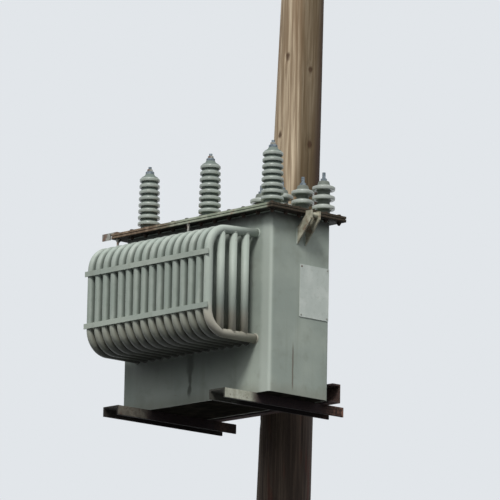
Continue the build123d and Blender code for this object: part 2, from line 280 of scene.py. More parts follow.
def bank_paint():
    """The same enamel on the round tubes, with dust low down and rust chips; painted shade on the straight
    runs, between the columns, deep in the bank and underneath, and a painted highlight on the end column.
    """
    paint = Finish("tube_enamel")
    x, y, z = paint.axes()
    broad = paint.cloud(0.15, 3.0, stretch=(3, 1, 1), shift=3.0)
    patchy = paint.cloud(0.035, 5.0, shift=9.0)
    fine = paint.cloud(0.008, 4.0)
    runs = paint.cloud(0.010, 3.0, stretch=(1, 1, 0.04), shift=4.0)
    colour = paint.blend(paint.ramp(broad, 0.36, 0.66), shade(138, 148, 140), shade(153, 161, 153))
    colour = paint.blend(paint.ramp(patchy, 0.50, 0.76) * 0.40, colour, shade(130, 138, 128))
    colour = paint.blend(paint.ramp(runs, 0.54, 0.74) * 0.28, colour, shade(108, 114, 102))
    inside = paint.ramp(y, BANK_Y + 0.035, BANK_Y + 0.10)
    inside = inside * paint.ramp(z, RUN_BOTTOM_Z + 0.06, RUN_BOTTOM_Z + 0.02)
    colour = paint.blend(inside * 0.45, colour, shade(92, 96, 84))
    first_x = RIG_X - (COLUMNS - 1) * COLUMN_PITCH / 2
    turn = paint.maths("FRACT", (x - (first_x - COLUMN_PITCH / 2)) * (1 / COLUMN_PITCH))
    # Painted shade in the gaps between the columns, weaker further into the bank and left off the end
    # column.
    painted_gap_shade = paint.ramp(abs(turn - 0.5) + (patchy - 0.5) * 0.06, 0.20, 0.37)
    last_x = first_x + COLUMN_PITCH * (COLUMNS - 1)
    last = paint.ramp(x, last_x - 0.024, last_x - 0.016)
    # Painted shade on the straight runs, leaving the top bends paler; left off the end column.
    upright = paint.ramp(z, RUN_TOP_Z - 0.02, RUN_TOP_Z - 0.12) * (1 - last)
    colour = paint.blend(upright * 0.35, colour, shade(112, 121, 113))
    inward = paint.ramp(y, BANK_Y + 0.022, BANK_Y + 0.040)
    colour = paint.blend(painted_gap_shade * (1 - last) * (0.64 - inward * 0.30), colour, shade(68, 76, 69))
    # Painted highlight: the end column made paler.
    colour = paint.blend(last * 0.35, colour, shade(164, 173, 164))
    # Painted shade deeper inside the bank, left off the end column.
    deep = paint.ramp(y, BANK_Y + 0.030, BANK_Y + 0.055) * (1 - last)
    colour = paint.blend(deep * 0.30, colour, shade(66, 73, 66))
    # Painted shade under the bank, weaker on the end column.
    low = paint.ramp(z + (patchy - 0.5) * 0.05, RUN_BOTTOM_Z + 0.055, RUN_BOTTOM_Z - 0.012)
    dusty = paint.ramp(z, RUN_BOTTOM_Z + 0.15, RUN_BOTTOM_Z + 0.06)
    colour = paint.blend(dusty * 0.40, colour, shade(148, 142, 126))
    # Dust, paler still on the end column, where it is partly a painted highlight.
    colour = paint.blend(dusty * last * 0.60, colour, shade(176, 170, 156))
    colour = paint.blend(low * (0.90 - last * 0.55), colour, shade(18, 21, 16))
    chips = paint.ramp(paint.cloud(0.018, 6.0, shift=13.0), 0.72, 0.77)
    colour = paint.blend(chips * 0.6, colour, shade(104, 74, 52))
    return paint.close(
        Base_Color=colour,
        Roughness=0.48 + patchy * 0.18,
        Specular_IOR_Level=0.30,
        Normal=paint.bump(patchy * 0.5 + fine * 0.5, 0.0009),
    )


def lid_paint():
    """Worn paint on the lid and rim: grey-green to the right, eaten by rust to the left, with painted shade
    on the rim's underside.
    """
    paint = Finish("lid_enamel")
    x, _, z = paint.axes()
    broad = paint.cloud(0.12, 4.0, shift=1.0)
    patchy = paint.cloud(0.030, 5.0, shift=4.0)
    fine = paint.cloud(0.007, 4.0)
    colour = paint.blend(paint.ramp(patchy, 0.38, 0.66), shade(126, 134, 118), shade(148, 154, 138))
    eaten = paint.ramp(x + (broad - 0.5) * 0.35 + (patchy - 0.5) * 0.12, RIG_X - 0.02, RIG_X - 0.26)
    corner = paint.ramp(x + (patchy - 0.5) * 0.05, RIGHT_X + 0.005, RIGHT_X + 0.040)
    patches = paint.ramp(broad * 0.6 + patchy * 0.4, 0.56, 0.64)
    brown_share = paint.maths("MAXIMUM", paint.maths("MAXIMUM", eaten, corner), patches)
    pink = paint.blend(paint.ramp(patchy, 0.40, 0.66), shade(98, 80, 66), shade(134, 116, 100))
    deep = paint.blend(paint.ramp(fine, 0.35, 0.70), shade(36, 29, 24), shade(70, 54, 44))
    rust = paint.blend(paint.maths("MAXIMUM", corner, paint.ramp(broad, 0.54, 0.66)), pink, deep)
    colour = paint.blend(brown_share * 0.92, colour, rust)
    # Painted shade on the rim's underside.
    under = paint.ramp(z, RIM_LOW_Z + 0.0060, RIM_LOW_Z + 0.0012)
    colour = paint.blend(under * 0.94, colour, shade(15, 12, 8))
    relief = patchy * 0.5 + fine * 0.5 * (0.4 + brown_share)
    return paint.close(
        Base_Color=colour,
        Roughness=0.62 + brown_share * 0.24,
        Specular_IOR_Level=0.08,
        Normal=paint.bump(relief, 0.0016),
    )


def lug_paint():
    """Faded buff paint on the lifting lugs."""
    paint = Finish("lug_enamel")
    patchy = paint.cloud(0.030, 5.0, shift=6.0)
    fine = paint.cloud(0.006, 4.0)
    colour = paint.blend(paint.ramp(patchy, 0.36, 0.66), shade(132, 130, 113), shade(164, 161, 143))
    rust = paint.ramp(paint.cloud(0.040, 6.0, shift=8.0), 0.55, 0.64)
    colour = paint.blend(rust * 0.5, colour, shade(104, 72, 52))
    return paint.close(
        Base_Color=colour,
        Roughness=0.60 + patchy * 0.2,
        Normal=paint.bump(patchy * 0.5 + fine * 0.5, 0.0012),
    )


def channel_steel():
    """Galvanised channels: pale in front of the tank; under it brown with rust and the tank's painted
    shadow, with painted shade in the channels' hollows, toes and front ends.
    """
    steel = Finish("channel_steel")
    x, y, z = steel.axes()
    broad = steel.cloud(0.14, 4.0, shift=3.0)
    patchy = steel.cloud(0.025, 5.0, shift=1.0)
    fine = steel.cloud(0.006, 4.0)
    left = steel.blend(steel.ramp(patchy, 0.36, 0.68), shade(96, 92, 84), shade(122, 118, 108))
    right = steel.blend(steel.ramp(patchy, 0.36, 0.68), shade(150, 151, 137), shade(180, 182, 168))
    pale = steel.blend(steel.ramp(x, RIG_X - 0.2, RIG_X + 0.2), left, right)
    brown = steel.blend(steel.ramp(fine, 0.34, 0.70), shade(54, 46, 44), shade(94, 74, 64))
    # Under the tank the channels turn brown: rust, with the tank's shadow painted in as well.
    inward = steel.ramp(y + (broad - 0.5) * 0.06, FRONT_Y - 0.045, FRONT_Y + 0.025)
    spots = steel.ramp(broad * 0.5 + patchy * 0.5, 0.54, 0.62)
    brown_share = steel.maths("MAXIMUM", inward, spots * 0.7)
    colour = steel.blend(brown_share, pale, brown)
    # Painted shadow, darker further under the tank.
    painted_tank_shadow = inward * steel.ramp(y, -0.10, -0.20)
    colour = steel.blend(painted_tank_shadow * 0.76, colour, shade(46, 41, 45))
    orange = steel.ramp(y, -0.14, -0.06) * steel.ramp(patchy, 0.42, 0.58) * steel.ramp(z, 4.05, 4.01)
    orange = orange * steel.ramp(x, RIG_X, RIG_X + 0.2)
    colour = steel.blend(orange * 0.65, colour, shade(152, 112, 96))
    # The left bearer's rear end is darker.
    dark_left_end = steel.ramp(y, -0.14, -0.06) * steel.ramp(x, RIG_X, RIG_X - 0.2)
    colour = steel.blend(dark_left_end * 0.75, colour, shade(28, 26, 28))
    # Painted shade inside the channels, under their toes and on their front ends.
    across = abs(abs(x - RIG_X) - BEARER_OUT)
    hollow = steel.ramp(across, BEARER_INNER + 0.0012, BEARER_INNER - 0.0002)
    hollow = hollow * steel.ramp(z, BASE_Z - 0.0015, BASE_Z - 0.0035)
    toes_z = BASE_Z - BEARER_H
    hollow = steel.maths("MAXIMUM", hollow, steel.ramp(z, toes_z + 0.0035, toes_z + 0.0010))
    ends = steel.ramp(y, BEARER_TIP_Y + 0.0010, BEARER_TIP_Y + 0.0004)
    hollow = steel.maths("MAXIMUM", hollow, ends)
    colour = steel.blend(hollow * 0.90, colour, shade(22, 20, 19))
    return steel.close(
        Base_Color=colour,
        Roughness=0.70 + brown_share * 0.22,
        Metallic=0.12 - brown_share * 0.10,
        Specular_IOR_Level=0.12,
        Normal=steel.bump(patchy * 0.4 + fine * 0.6, 0.0014),
    )


def bolt_steel():
    """Dull zinc on bolts, nuts and washers, browned by rust."""
    steel = Finish("zinc_steel")
    patchy = steel.cloud(0.012, 4.0, shift=2.0)
    fine = steel.cloud(0.003, 3.0)
    zinc = steel.blend(steel.ramp(patchy, 0.35, 0.65), shade(112, 112, 106), shade(158, 158, 150))
    rust = steel.ramp(steel.cloud(0.05, 5.0, shift=5.0) * 0.7 + patchy * 0.3, 0.48, 0.58)
    colour = steel.blend(rust * 0.85, zinc, shade(92, 62, 46))
    return steel.close(
        Base_Color=colour,
        Roughness=0.45 + rust * 0.4,
        Metallic=0.55 - rust * 0.5,
        Normal=steel.bump(fine, 0.0006),
    )


def old_bolt_steel():
    """Bolts under and on the lid, brown with rust and darkened nearly to black, a painted shade for the
    nuts under the rim.
    """
    steel = Finish("rust_and_shade_bolts")
    patchy = steel.cloud(0.012, 4.0, shift=3.0)
    fine = steel.cloud(0.003, 3.0)
    colour = steel.blend(steel.ramp(patchy, 0.36, 0.66), shade(34, 29, 25), shade(62, 50, 42))
    return steel.close(
        Base_Color=colour,
        Roughness=0.80 + patchy * 0.1,
        Specular_IOR_Level=0.2,
        Normal=steel.bump(fine, 0.0008),
    )


def tank_underside():
    """The tank's floor from below, painted dark as shade, with mottled dirt."""
    dirt_and_shade = Finish("tank_underside")
    patchy = dirt_and_shade.cloud(0.06, 4.0, shift=3.0)
    colour = dirt_and_shade.blend(dirt_and_shade.ramp(patchy, 0.36, 0.66), shade(64, 64, 58), shade(86, 83, 75))
    return dirt_and_shade.close(
        Base_Color=colour, Roughness=0.92, Specular_IOR_Level=0.0, Normal=dirt_and_shade.bump(patchy, 0.0015)
    )


def gasket_rubber():
    rubber = Finish("gasket_rubber")
    fine = rubber.cloud(0.004, 4.0)
    colour = rubber.blend(rubber.ramp(fine, 0.35, 0.70), shade(30, 29, 27), shade(52, 48, 42))
    return rubber.close(Base_Color=colour, Roughness=0.82, Normal=rubber.bump(fine, 0.0006))


def porcelain(name, pale, soot_and_shade_tone):
    """Glazed porcelain: pale on the sheds' edges, with dirt and painted shade between them."""
    glaze = Finish(name)
    hidden = glaze.attribute("hidden")
    patchy = glaze.cloud(0.020, 4.0, shift=3.0)
    broad = glaze.cloud(0.09, 3.0, shift=8.0)
    duller = tuple(level * 0.86 for level in pale[:3]) + (1.0,)
    colour = glaze.blend(glaze.ramp(broad, 0.38, 0.64), pale, duller)
    colour = glaze.blend(glaze.ramp(patchy, 0.52, 0.76) * 0.35, colour, shade(112, 112, 92))
    # Dirt and painted shade, darker deeper between the sheds.
    soot_and_shade = glaze.ramp(hidden + (patchy - 0.5) * 0.20, 0.45, 0.90)
    colour = glaze.blend(soot_and_shade * 0.85, colour, soot_and_shade_tone)
    return glaze.close(
        Base_Color=colour,
        Roughness=0.20 + soot_and_shade * 0.5 + patchy * 0.1,
        Normal=glaze.bump(patchy, 0.0004),
    )


def terminal_metal():
    """Dark tarnished alloy on the terminals."""
    metal = Finish("terminal_metal")
    patchy = metal.cloud(0.010, 4.0, shift=2.0)
    colour = metal.blend(metal.ramp(patchy, 0.36, 0.66), shade(78, 88, 96), shade(122, 132, 138))
    return metal.close(
        Base_Color=colour, Roughness=0.42 + patchy * 0.2, Metallic=0.5, Normal=metal.bump(patchy, 0.0005)
    )


def plate_metal():
    """Bare dull sheet on the rating plate, with a film of chalk and dirt."""
    sheet = Finish("plate_metal")
    broad = sheet.cloud(0.09, 4.0, shift=2.0)
    patchy = sheet.cloud(0.018, 4.0, shift=6.0)
    brushed = sheet.cloud(0.0015, 3.0, stretch=(1, 0.05, 1))
    colour = sheet.blend(sheet.ramp(broad, 0.36, 0.66), shade(169, 176, 170), shade(183, 189, 183))
    colour = sheet.blend(sheet.ramp(patchy, 0.54, 0.74) * 0.30, colour, shade(138, 142, 130))
    return sheet.close(
        Base_Color=colour, Roughness=0.50 + patchy * 0.2, Metallic=0.12, Normal=sheet.bump(brushed, 0.0003)
    )


def pole_wood():
    """Weathered softwood: pale fibres above; below the tank, dark with creosote and the tank's painted
    shadow.
    """
    wood = Finish("weathered_wood")
    x, y, z = wood.axes()
    check = wood.attribute("check")
    knot = wood.attribute("knot")
    fibre = wood.cloud(0.0045, 4.0, stretch=(1, 1, 0.025), shift=1.0)
    strand = wood.cloud(0.016, 4.0, stretch=(1, 1, 0.03), shift=5.0, warp=0.3)
    band = wood.cloud(0.055, 3.0, stretch=(1, 1, 0.10), shift=9.0)
    patchy = wood.cloud(0.16, 4.0, stretch=(1, 1, 0.4), shift=3.0)
    colour = wood.blend(wood.ramp(strand, 0.34, 0.68), shade(130, 112, 90), shade(192, 176, 152))
    colour = wood.blend(wood.ramp(fibre, 0.44, 0.72) * 0.45, colour, shade(92, 74, 56))
    colour = wood.blend(wood.ramp(band, 0.50, 0.68) * 0.50, colour, shade(112, 88, 64))
    colour = wood.blend(wood.ramp(patchy, 0.50, 0.70) * 0.35, colour, shade(150, 136, 116))
    away = (x - z * POLE_LEAN) * 0.676 + y * 0.737
    dim = wood.ramp(away + (band - 0.5) * 0.05 + (strand - 0.5) * 0.03, -0.016, 0.022)
    lower = wood.ramp(z, 5.60, 5.15)
    colour = wood.blend(dim * (0.70 + lower * 0.18), colour, shade(72, 58, 36))
    edge = wood.ramp(away + (strand - 0.5) * 0.03, 0.070, 0.115)
    colour = wood.blend(edge * 0.75, colour, shade(50, 34, 34))
    colour = wood.blend(wood.ramp(knot, 0.15, 0.75) * 0.85, colour, shade(62, 42, 28))
    # Below the tank: creosote stain and the tank's painted shadow.
    creosote_and_shadow = wood.ramp(z + (band - 0.5) * 0.35 + (strand - 0.5) * 0.2, 4.35, 3.95)
    creosote_and_shadow_tone = wood.blend(wood.ramp(strand, 0.36, 0.70), shade(42, 34, 30), shade(78, 66, 58))
    red = wood.ramp(wood.cloud(0.045, 2.0, stretch=(1, 1, 0.12), shift=12.0), 0.54, 0.66)
    creosote_and_shadow_tone = wood.blend(red * 0.55, creosote_and_shadow_tone, shade(70, 34, 27))
    colour = wood.blend(creosote_and_shadow * 0.94, colour, creosote_and_shadow_tone)
    colour = wood.blend(wood.ramp(check, 0.12, 0.60), colour, shade(26, 20, 16))
    relief = fibre * 0.45 + strand * 0.55
    return wood.close(
        Base_Color=colour,
        Roughness=0.80 + strand * 0.12,
        Specular_IOR_Level=0.2,
        Normal=wood.bump(relief, 0.0035),
    )


# Meshes


def piece(name, mesh, material):
    """A new piece of the object, at the origin, with its place in its mesh."""
    made = bpy.data.objects.new(name, mesh)
    bpy.context.scene.collection.objects.link(made)
    mesh.materials.clear()
    mesh.materials.append(material)
    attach(made, "root")
    return made


def mesh_of(name, points, faces, edges=(), smooth=True):
    mesh = bpy.data.meshes.new(name)
    mesh.from_pydata([tuple(p) for p in points], list(edges), faces)
    for face in mesh.polygons:
        face.use_smooth = smooth and len(face.vertices) <= 4
    mesh.update()
    return mesh


def mark(mesh, name, values):
    """Keeps one number for each point, for a finish to read."""
    made = mesh.attributes.new(name, "FLOAT", "POINT")
    made.data.foreach_set("value", np.asarray(values, np.float32))


def rings_of(rings):
    """Faces that join rings of equal length, with both ends closed."""
    sides = len(rings[0])
    points = [p for ring in rings for p in ring]
    faces = []
    for i in range(len(rings) - 1):
        for k in range(sides):
            after = (k + 1) % sides
            low, high = i * sides, (i + 1) * sides
            faces.append((low + k, low + after, high + after, high + k))
    faces.append(tuple(reversed(range(sides))))
    faces.append(tuple(range(len(points) - sides, len(points))))
    return points, faces


def rounded(route, radius, steps):
    """The route's corners turned into arcs. Its points are (y, z)."""
    out = [Vector(route[0])]
    for before, corner, after in zip(route, route[1:], route[2:]):
        corner = Vector(corner)
        back = (Vector(before) - corner).normalized()
        ahead = (Vector(after) - corner).normalized()
        half = back.angle(ahead) / 2
        reach = radius / math.tan(half)
        centre = corner + (back + ahead).normalized() * (radius / math.sin(half))
        start = corner + back * reach - centre
        end = corner + ahead * reach - centre
        turn = start.angle(end)
        for k in range(steps + 1):
            share = k / steps
            a = math.sin((1 - share) * turn) / math.sin(turn)
            b = math.sin(share * turn) / math.sin(turn)
            out.append(centre + start * a + end * b)
    out.append(Vector(route[-1]))
    return out


def tube(route, radius, sides):
    """A closed tube along a route in the plane x = 0. Its points are (y, z)."""
    rings = []
    for k, point in enumerate(route):
        before = route[max(k - 1, 0)]
        after = route[min(k + 1, len(route) - 1)]
        along = (after - before).normalized()
        out = Vector((along.y, -along.x))
        ring = []
        for s in range(sides):
            turn = 2 * math.pi * s / sides
            flat = point + out * (radius * math.cos(turn))
            ring.append((radius * math.sin(turn), flat.x, flat.y))
        rings.append(ring)
    return rings_of(rings)


def top_run_z(y):
    return RUN_TOP_Z - RUN_FALL * (FRONT_Y - y)


def saddle(y, z, up):
    """The weld where an inner tube meets the run above or below it."""
    bead = 0.0022
    steps = 20
    rings = []
    for k in range(steps):
        turn = 2 * math.pi * k / steps
        side = INNER_TUBE_R * math.sin(turn)
        height = math.sqrt(OUTER_TUBE_R ** 2 - side ** 2)
        out = Vector((math.sin(turn), math.cos(turn), 0))
        centre = Vector((side, y + INNER_TUBE_R * math.cos(turn), z + up * height))
        ring = []
        for s in range(5):
            lean = 2 * math.pi * s / 5
            ring.append(centre + out * (bead * math.cos(lean)) + Vector((0, 0, bead * math.sin(lean))))
        rings.append(ring)
    points = [tuple(p) for ring in rings for p in ring]
    faces = []
    for i in range(steps):
        for s in range(5):
            here, there, after = i * 5, (i + 1) % steps * 5, (s + 1) % 5
            faces.append((here + s, here + after, there + after, there + s))
    return points, faces


def column_mesh():
    """One column of the bank: the bent outer tube, its inner tubes and their welds."""
    inside_y = FRONT_Y + 0.004
    corners = [
        (inside_y, top_run_z(inside_y)),
        (BANK_Y, top_run_z(BANK_Y)),
        (BANK_Y, RUN_BOTTOM_Z),
        (inside_y, RUN_BOTTOM_Z),
    ]
    groups = [tube(rounded(corners, BEND_R, 12), OUTER_TUBE_R, 24)]
    for k in range(1, INNER_TUBES + 1):
        y = BANK_Y + k * INNER_PITCH
        straight = [Vector((y, RUN_BOTTOM_Z)), Vector((y, top_run_z(y)))]
        groups.append(tube(straight, INNER_TUBE_R, 20))
        groups.append(saddle(y, RUN_BOTTOM_Z, 1))
        groups.append(saddle(y, top_run_z(y), -1))
    points, faces = [], []
    for more, rims in groups:
        base = len(points)
        points += more
        faces += [tuple(i + base for i in rim) for rim in rims]
    mesh = mesh_of("column", points, faces)
    return outward(mesh)


def outward(mesh):
    """Turns every face of closed shells outwards."""
    shell = bmesh.new()
    shell.from_mesh(mesh)
    bmesh.ops.recalc_face_normals(shell, faces=shell.faces)
    shell.to_mesh(mesh)
    shell.free()
    return mesh


# Patterns of Geometry Nodes


class Pattern:
    """A Geometry Nodes tree with named inputs, run on a mesh and kept as a plain mesh."""

    def __init__(self, name, **sizes):
        self.tree = bpy.data.node_groups.new(name, "GeometryNodeTree")
        face = self.tree.interface
        face.new_socket("Geometry", in_out="INPUT", socket_type="NodeSocketGeometry")
        face.new_socket("Geometry", in_out="OUTPUT", socket_type="NodeSocketGeometry")
        self.keys = {}
        self.sizes = sizes
        kinds = {int: "NodeSocketInt", float: "NodeSocketFloat", tuple: "NodeSocketVector"}
        for label, size in sizes.items():
            made = face.new_socket(label, in_out="INPUT", socket_type=kinds[type(size)])
            self.keys[label] = made.identifier
        self.entry = self.tree.nodes.new("NodeGroupInput")
        self.mesh = self.entry.outputs["Geometry"]

    def size(self, label):
        return self.entry.outputs[label]

    def node(self, kind, settings=None, inputs=None, out=0):
        """The wanted output of a new node, with its settings and inputs set or linked."""
        made = self.tree.nodes.new(kind)
        for name, setting in (settings or {}).items():
            setattr(made, name, setting)
        for key, given in (inputs or {}).items():
            given = given if isinstance(given, list) else [given]
            for value in given:
                if isinstance(value, bpy.types.NodeSocket):
                    self.tree.links.new(value, made.inputs[key])
                else:
                    made.inputs[key].default_value = value
        return made.outputs[out]

    def maths(self, operation, left, right):
        return self.node("ShaderNodeMath", {"operation": operation}, {0: left, 1: right})

    def close(self, geometry, material):
        """Real geometry in one material, as the tree's result."""
        real = self.node("GeometryNodeRealizeInstances", None, {0: geometry})
        painted = self.node("GeometryNodeSetMaterial", None, {"Geometry": real, "Material": material})
        leave = self.tree.nodes.new("NodeGroupOutput")
        self.tree.links.new(painted, leave.inputs[0])

    def run(self, mesh, **sizes):
        """The tree's result on a mesh, with some of its inputs changed."""
        holder = bpy.data.objects.new("pattern", mesh)
        bpy.context.scene.collection.objects.link(holder)
        modifier = holder.modifiers.new("pattern", "NODES")
        modifier.node_group = self.tree
        for label, size in {**self.sizes, **sizes}.items():
            modifier[self.keys[label]] = size
        graph = bpy.context.evaluated_depsgraph_get()
        result = bpy.data.meshes.new_from_object(holder.evaluated_get(graph))
        holder.modifiers.remove(modifier)
        bpy.data.objects.remove(holder)
        return result


def row_pattern(material):
    """Copies of the mesh in a row along X."""
    row = Pattern("tube_row", Count=COLUMNS, Start=0.0, Pitch=COLUMN_PITCH)
    start = row.node("ShaderNodeCombineXYZ", None, {0: row.size("Start")})
    step = row.node("ShaderNodeCombineXYZ", None, {0: row.size("Pitch")})
    inputs = {"Count": row.size("Count"), "Start Location": start, "Offset": step}
    line = row.node("GeometryNodeMeshLine", None, inputs)
    copies = row.node("GeometryNodeInstanceOnPoints", None, {"Points": line, "Instance": row.mesh})
    row.close(copies, material)
    return row


def bolt_pattern(material):
    """A bolt head, washer and thread on each point of the mesh, each turned its own way."""
    bolt = Pattern(
        "bolts",
        Head=0.019,
        Height=0.008,
        Washer=0.013,
        Thick=0.002,
        Thread=0.006,
        Out=0.0,
        Tilt=(0.0, 0.0, 0.0),
        Seed=4,
    )
    radius = bolt.maths("DIVIDE", bolt.size("Head"), math.sqrt(3))
    washer_mid = bolt.maths("MULTIPLY", bolt.size("Thick"), 0.5)
    head_mid = bolt.maths("ADD", bolt.size("Thick"), bolt.maths("MULTIPLY", bolt.size("Height"), 0.4))
    head_tall = bolt.maths("MULTIPLY", bolt.size("Height"), 0.8)
    crown_low = bolt.maths("ADD", bolt.size("Thick"), head_tall)
    crown_tall = bolt.maths("MULTIPLY", bolt.size("Height"), 0.2)
    thread_mid = bolt.maths("MULTIPLY", bolt.maths("ADD", crown_low, bolt.size("Out")), 0.5)
    thread_tall = bolt.maths("ADD", bolt.maths("ADD", crown_low, crown_tall), bolt.size("Out"))

    def disc(sides, size, tall, height):
        made = bolt.node(
            "GeometryNodeMeshCylinder", None, {"Vertices": sides, "Radius": size, "Depth": tall}
        )
        place = bolt.node("ShaderNodeCombineXYZ", None, {2: height})
        return bolt.node("GeometryNodeTransform", None, {"Geometry": made, "Translation": place})

    washer = disc(18, bolt.size("Washer"), bolt.size("Thick"), washer_mid)
    head = disc(6, radius, head_tall, head_mid)
    thread = disc(12, bolt.size("Thread"), thread_tall, thread_mid)
    crown = bolt.node(
        "GeometryNodeMeshCone",
        None,
        {
            "Vertices": 6,
            "Radius Top": bolt.maths("MULTIPLY", radius, 0.86),
            "Radius Bottom": radius,
            "Depth": crown_tall,
        },
    )
    crown_place = bolt.node("ShaderNodeCombineXYZ", None, {2: crown_low})
    crown = bolt.node("GeometryNodeTransform", None, {"Geometry": crown, "Translation": crown_place})
    whole = bolt.node("GeometryNodeJoinGeometry", None, {0: [washer, head, thread, crown]})
    inputs = {"Points": bolt.mesh, "Instance": whole, "Rotation": bolt.size("Tilt")}
    placed = bolt.node("GeometryNodeInstanceOnPoints", None, inputs)
    spin = bolt.node(
        "FunctionNodeRandomValue",
        {"data_type": "FLOAT_VECTOR"},
        {0: (0, 0, 0), 1: (0, 0, math.tau), "Seed": bolt.size("Seed")},
    )
    placed = bolt.node("GeometryNodeRotateInstances", None, {"Instances": placed, "Rotation": spin})
    bolt.close(placed, material)
    return bolt


def weld_pattern(material):
    """A rippled bead along each edge of the mesh."""
    weld = Pattern("weld_beads", Radius=0.0036, Step=0.006, Ripple=0.0016, Scale=130.0)
    line = weld.node("GeometryNodeMeshToCurve", None, {"Mesh": weld.mesh})
    inputs = {"Curve": line, "Length": weld.size("Step")}
    line = weld.node("GeometryNodeResampleCurve", {"mode": "LENGTH"}, inputs)
    inputs = {"Resolution": 7, "Radius": weld.size("Radius")}
    ring = weld.node("GeometryNodeCurvePrimitiveCircle", None, inputs)
    inputs = {"Curve": line, "Profile Curve": ring, "Fill Caps": True}
    bead = weld.node("GeometryNodeCurveToMesh", None, inputs)
    place = weld.node("GeometryNodeInputPosition")
    inputs = {"Vector": place, "Scale": weld.size("Scale"), "Detail": 1.0}
    noise = weld.node("ShaderNodeTexNoise", None, inputs, 1)
    centred = weld.node("ShaderNodeVectorMath", {"operation": "SUBTRACT"}, {0: noise, 1: (0.5, 0.5, 0.5)})
    inputs = {0: centred, "Scale": weld.size("Ripple")}
    lift = weld.node("ShaderNodeVectorMath", {"operation": "SCALE"}, inputs)
    bead = weld.node("GeometryNodeSetPosition", None, {"Geometry": bead, "Offset": lift})
    bead = weld.node("GeometryNodeSetShadeSmooth", None, {"Geometry": bead})
    weld.close(bead, material)
    return weld


# Pieces


def tube_bank(material):
    row = row_pattern(material)
    start = RIG_X - (COLUMNS - 1) * COLUMN_PITCH / 2
    mesh = row.run(column_mesh(), Start=start)
    bank = piece("tube_bank", mesh, material)
    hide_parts(*[f"tube_column_{k + 1:02d}" for k in range(COLUMNS)])


def ring_line(centre, across, up, radius, steps):
    """Points and edges of a circle in the plane of two directions."""
    points = []
    for k in range(steps):
        turn = 2 * math.pi * k / steps
        points.append(Vector(centre) + across * (radius * math.cos(turn)) + up * (radius * math.sin(turn)))
    return points, [(k, (k + 1) % steps) for k in range(steps)]


def tank_welds(material):
    """Beads round the tube ends, under the rim and on the lifting lugs."""
    points, edges = [], []

    def add(line, joins):
        base = len(points)
        points.extend(line)
        edges.extend((a + base, b + base) for a, b in joins)

    sideways, up = Vector((1, 0, 0)), Vector((0, 0, 1))
    for k in range(COLUMNS):
        x = RIG_X + (k - (COLUMNS - 1) / 2) * COLUMN_PITCH
        for z in (top_run_z(FRONT_Y), RUN_BOTTOM_Z):
            add(*ring_line((x, FRONT_Y - 0.0008, z), sideways, up, OUTER_TUBE_R + 0.0012, 24))
    inset = TANK_CORNER_R
    under_rim = RIM_LOW_Z - 0.0012
    corners = [
        (LEFT_X + inset, FRONT_Y),
        (RIGHT_X - inset, FRONT_Y),
        (RIGHT_X, FRONT_Y + inset),
        (RIGHT_X, BACK_Y - inset),
        (RIGHT_X - inset, BACK_Y),
        (LEFT_X + inset, BACK_Y),
        (LEFT_X, BACK_Y - inset),
        (LEFT_X, FRONT_Y + inset),
    ]
    around = [Vector((a, b, under_rim)) for a, b in corners]
    add(around, [(k, (k + 1) % 8) for k in range(8)])
    for side in (-1, 1):
        wall = RIG_X + side * 0.5205
        for cheek in (-1, 1):
            for face in (-1, 1):
                y = MID_Y + cheek * LUG_CHEEK_OUT + face * 0.0046
                add([Vector((wall, y, z)) for z in LUG_WELD_Z], [(0, 1)])
    weld = weld_pattern(material)
    mesh = weld.run(mesh_of("weld_lines", points, [], edges))
    piece("weld_beads", mesh, material)


def lathe(outline, x, y, z, sides, shed_r, core_r):
    """A turned piece: its outline goes from the axis out and back to the axis."""
    rings = []
    hidden = []
    for radius, height in outline:
        ring = []
        for k in range(sides):
            turn = 2 * math.pi * k / sides
            ring.append((x + radius * math.cos(turn), y + radius * math.sin(turn), z + height))
        rings.append(ring)
        depth = (shed_r - radius) / (shed_r - core_r)
        hidden += [max(0.0, min(1.0, depth))] * sides
    points, faces = rings_of(rings)
    mesh = mesh_of("turned", points, faces)
    mark(mesh, "hidden", hidden)
    return outward(mesh)


def shed(radius, core, thick, droop, z):
    """The outline of one shed, with a round edge and a drip groove below."""
    half = thick / 2
    return [
        (core, z - half + 0.0015),
        (core + (radius - core) * 0.30, z - half + 0.0005),
        (core + (radius - core) * 0.62, z - half),
        (radius - thick * 0.12, z - half - droop * 0.10),
        (radius - thick * 0.03, z - half * 0.88),
        (radius, z - half * 0.66),
        (radius, z + half * 0.12),
        (radius - thick * 0.03, z + half * 0.40 - droop * 0.2),
        (radius - thick * 0.12, z + half * 0.72 - droop * 0.5),
        (radius - thick * 0.34, z + half - droop),
        (core + (radius - core) * 0.35, z + half - droop * 0.42),
        (core + 0.002, z + half),
        (core, z + half + 0.002),
    ]


def hv_bushings(material):
    for name, x in zip(("left", "centre", "right"), HV_X):
        outline = [(0.041, 0.012), (0.041, 0.024), (HV_CORE_R, 0.030)]
        for k in range(HV_SHEDS):
            radius = HV_SHED_R_LOW + (HV_SHED_R_HIGH - HV_SHED_R_LOW) * k / (HV_SHEDS - 1)
            height = HV_FIRST_SHED + HV_SHED_PITCH * k
            outline += shed(radius, HV_CORE_R, HV_SHED_T, HV_DROOP, height)
        outline += [(0.036, 0.2835), (0.030, 0.2870), (0.0245, 0.2915), (0.022, 0.2975)]
        mesh = lathe(outline, x, HV_Y, LID_TOP_Z, 48, HV_CLEAN_R, HV_CORE_R)
        made = piece("hv_porcelain_" + name, mesh, material)
        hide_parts("hv_bushing_" + name)


